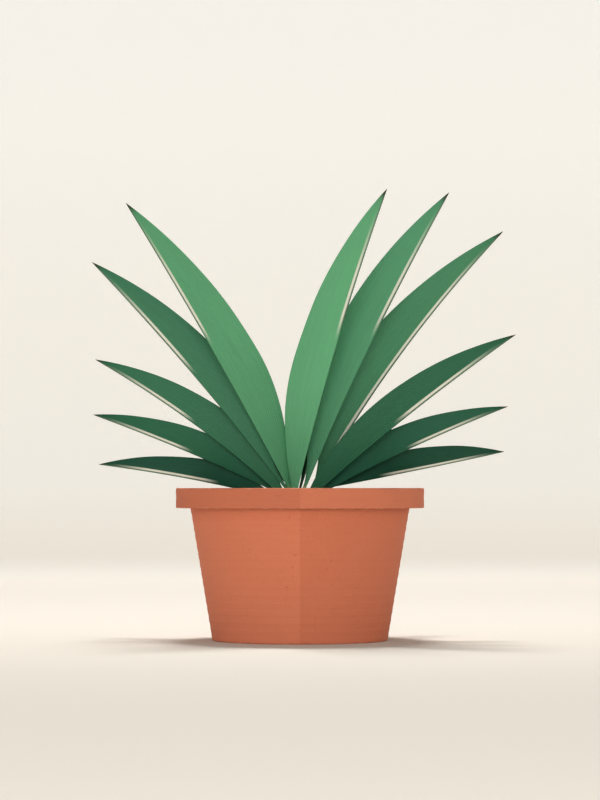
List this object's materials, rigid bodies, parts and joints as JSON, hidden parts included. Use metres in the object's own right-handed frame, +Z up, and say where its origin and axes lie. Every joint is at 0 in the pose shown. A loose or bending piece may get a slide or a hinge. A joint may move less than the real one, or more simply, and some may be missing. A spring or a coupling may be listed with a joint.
{
  "type": "potted dracaena",
  "caption": "Small dracaena with folded sword-shaped leaves fanning out of a round tapered terracotta pot with a rim band.",
  "frame": {"origin": "on the surface the pot stands on, under the middle of the whole plant's box, which is the pot's axis to within a few millimetres", "axes": "+Z up along the pot's axis, -Y towards the front of the plant, +X to the right seen from the front"},
  "size_m": [0.3368, 0.253, 0.3551],
  "materials": {
    "terracotta": "matte",
    "soil": "matte",
    "stem": "matte",
    "leaf_bright": "satin",
    "leaf_fresh": "satin",
    "leaf_middle": "satin",
    "leaf_deep": "satin",
    "leaf_dark": "satin"
  },
  "bodies": {
    "root": {"pot": "terracotta", "soil": "soil", "stem": "stem", "leaf_left_1": "leaf_bright", "leaf_left_2": "leaf_middle", "leaf_left_3": "leaf_middle", "leaf_left_4": "leaf_deep", "leaf_left_5": "leaf_dark", "leaf_right_1": "leaf_bright", "leaf_right_2": "leaf_fresh", "leaf_right_3": "leaf_middle", "leaf_right_4": "leaf_deep", "leaf_right_5": "leaf_dark", "leaf_right_6": "leaf_dark", "leaf_back_1": "leaf_middle", "leaf_back_2": "leaf_middle", "leaf_back_3": "leaf_deep", "leaf_back_4": "leaf_deep", "leaf_back_5": "leaf_deep", "leaf_back_6": "leaf_dark"}
  },
  "joints": []
}
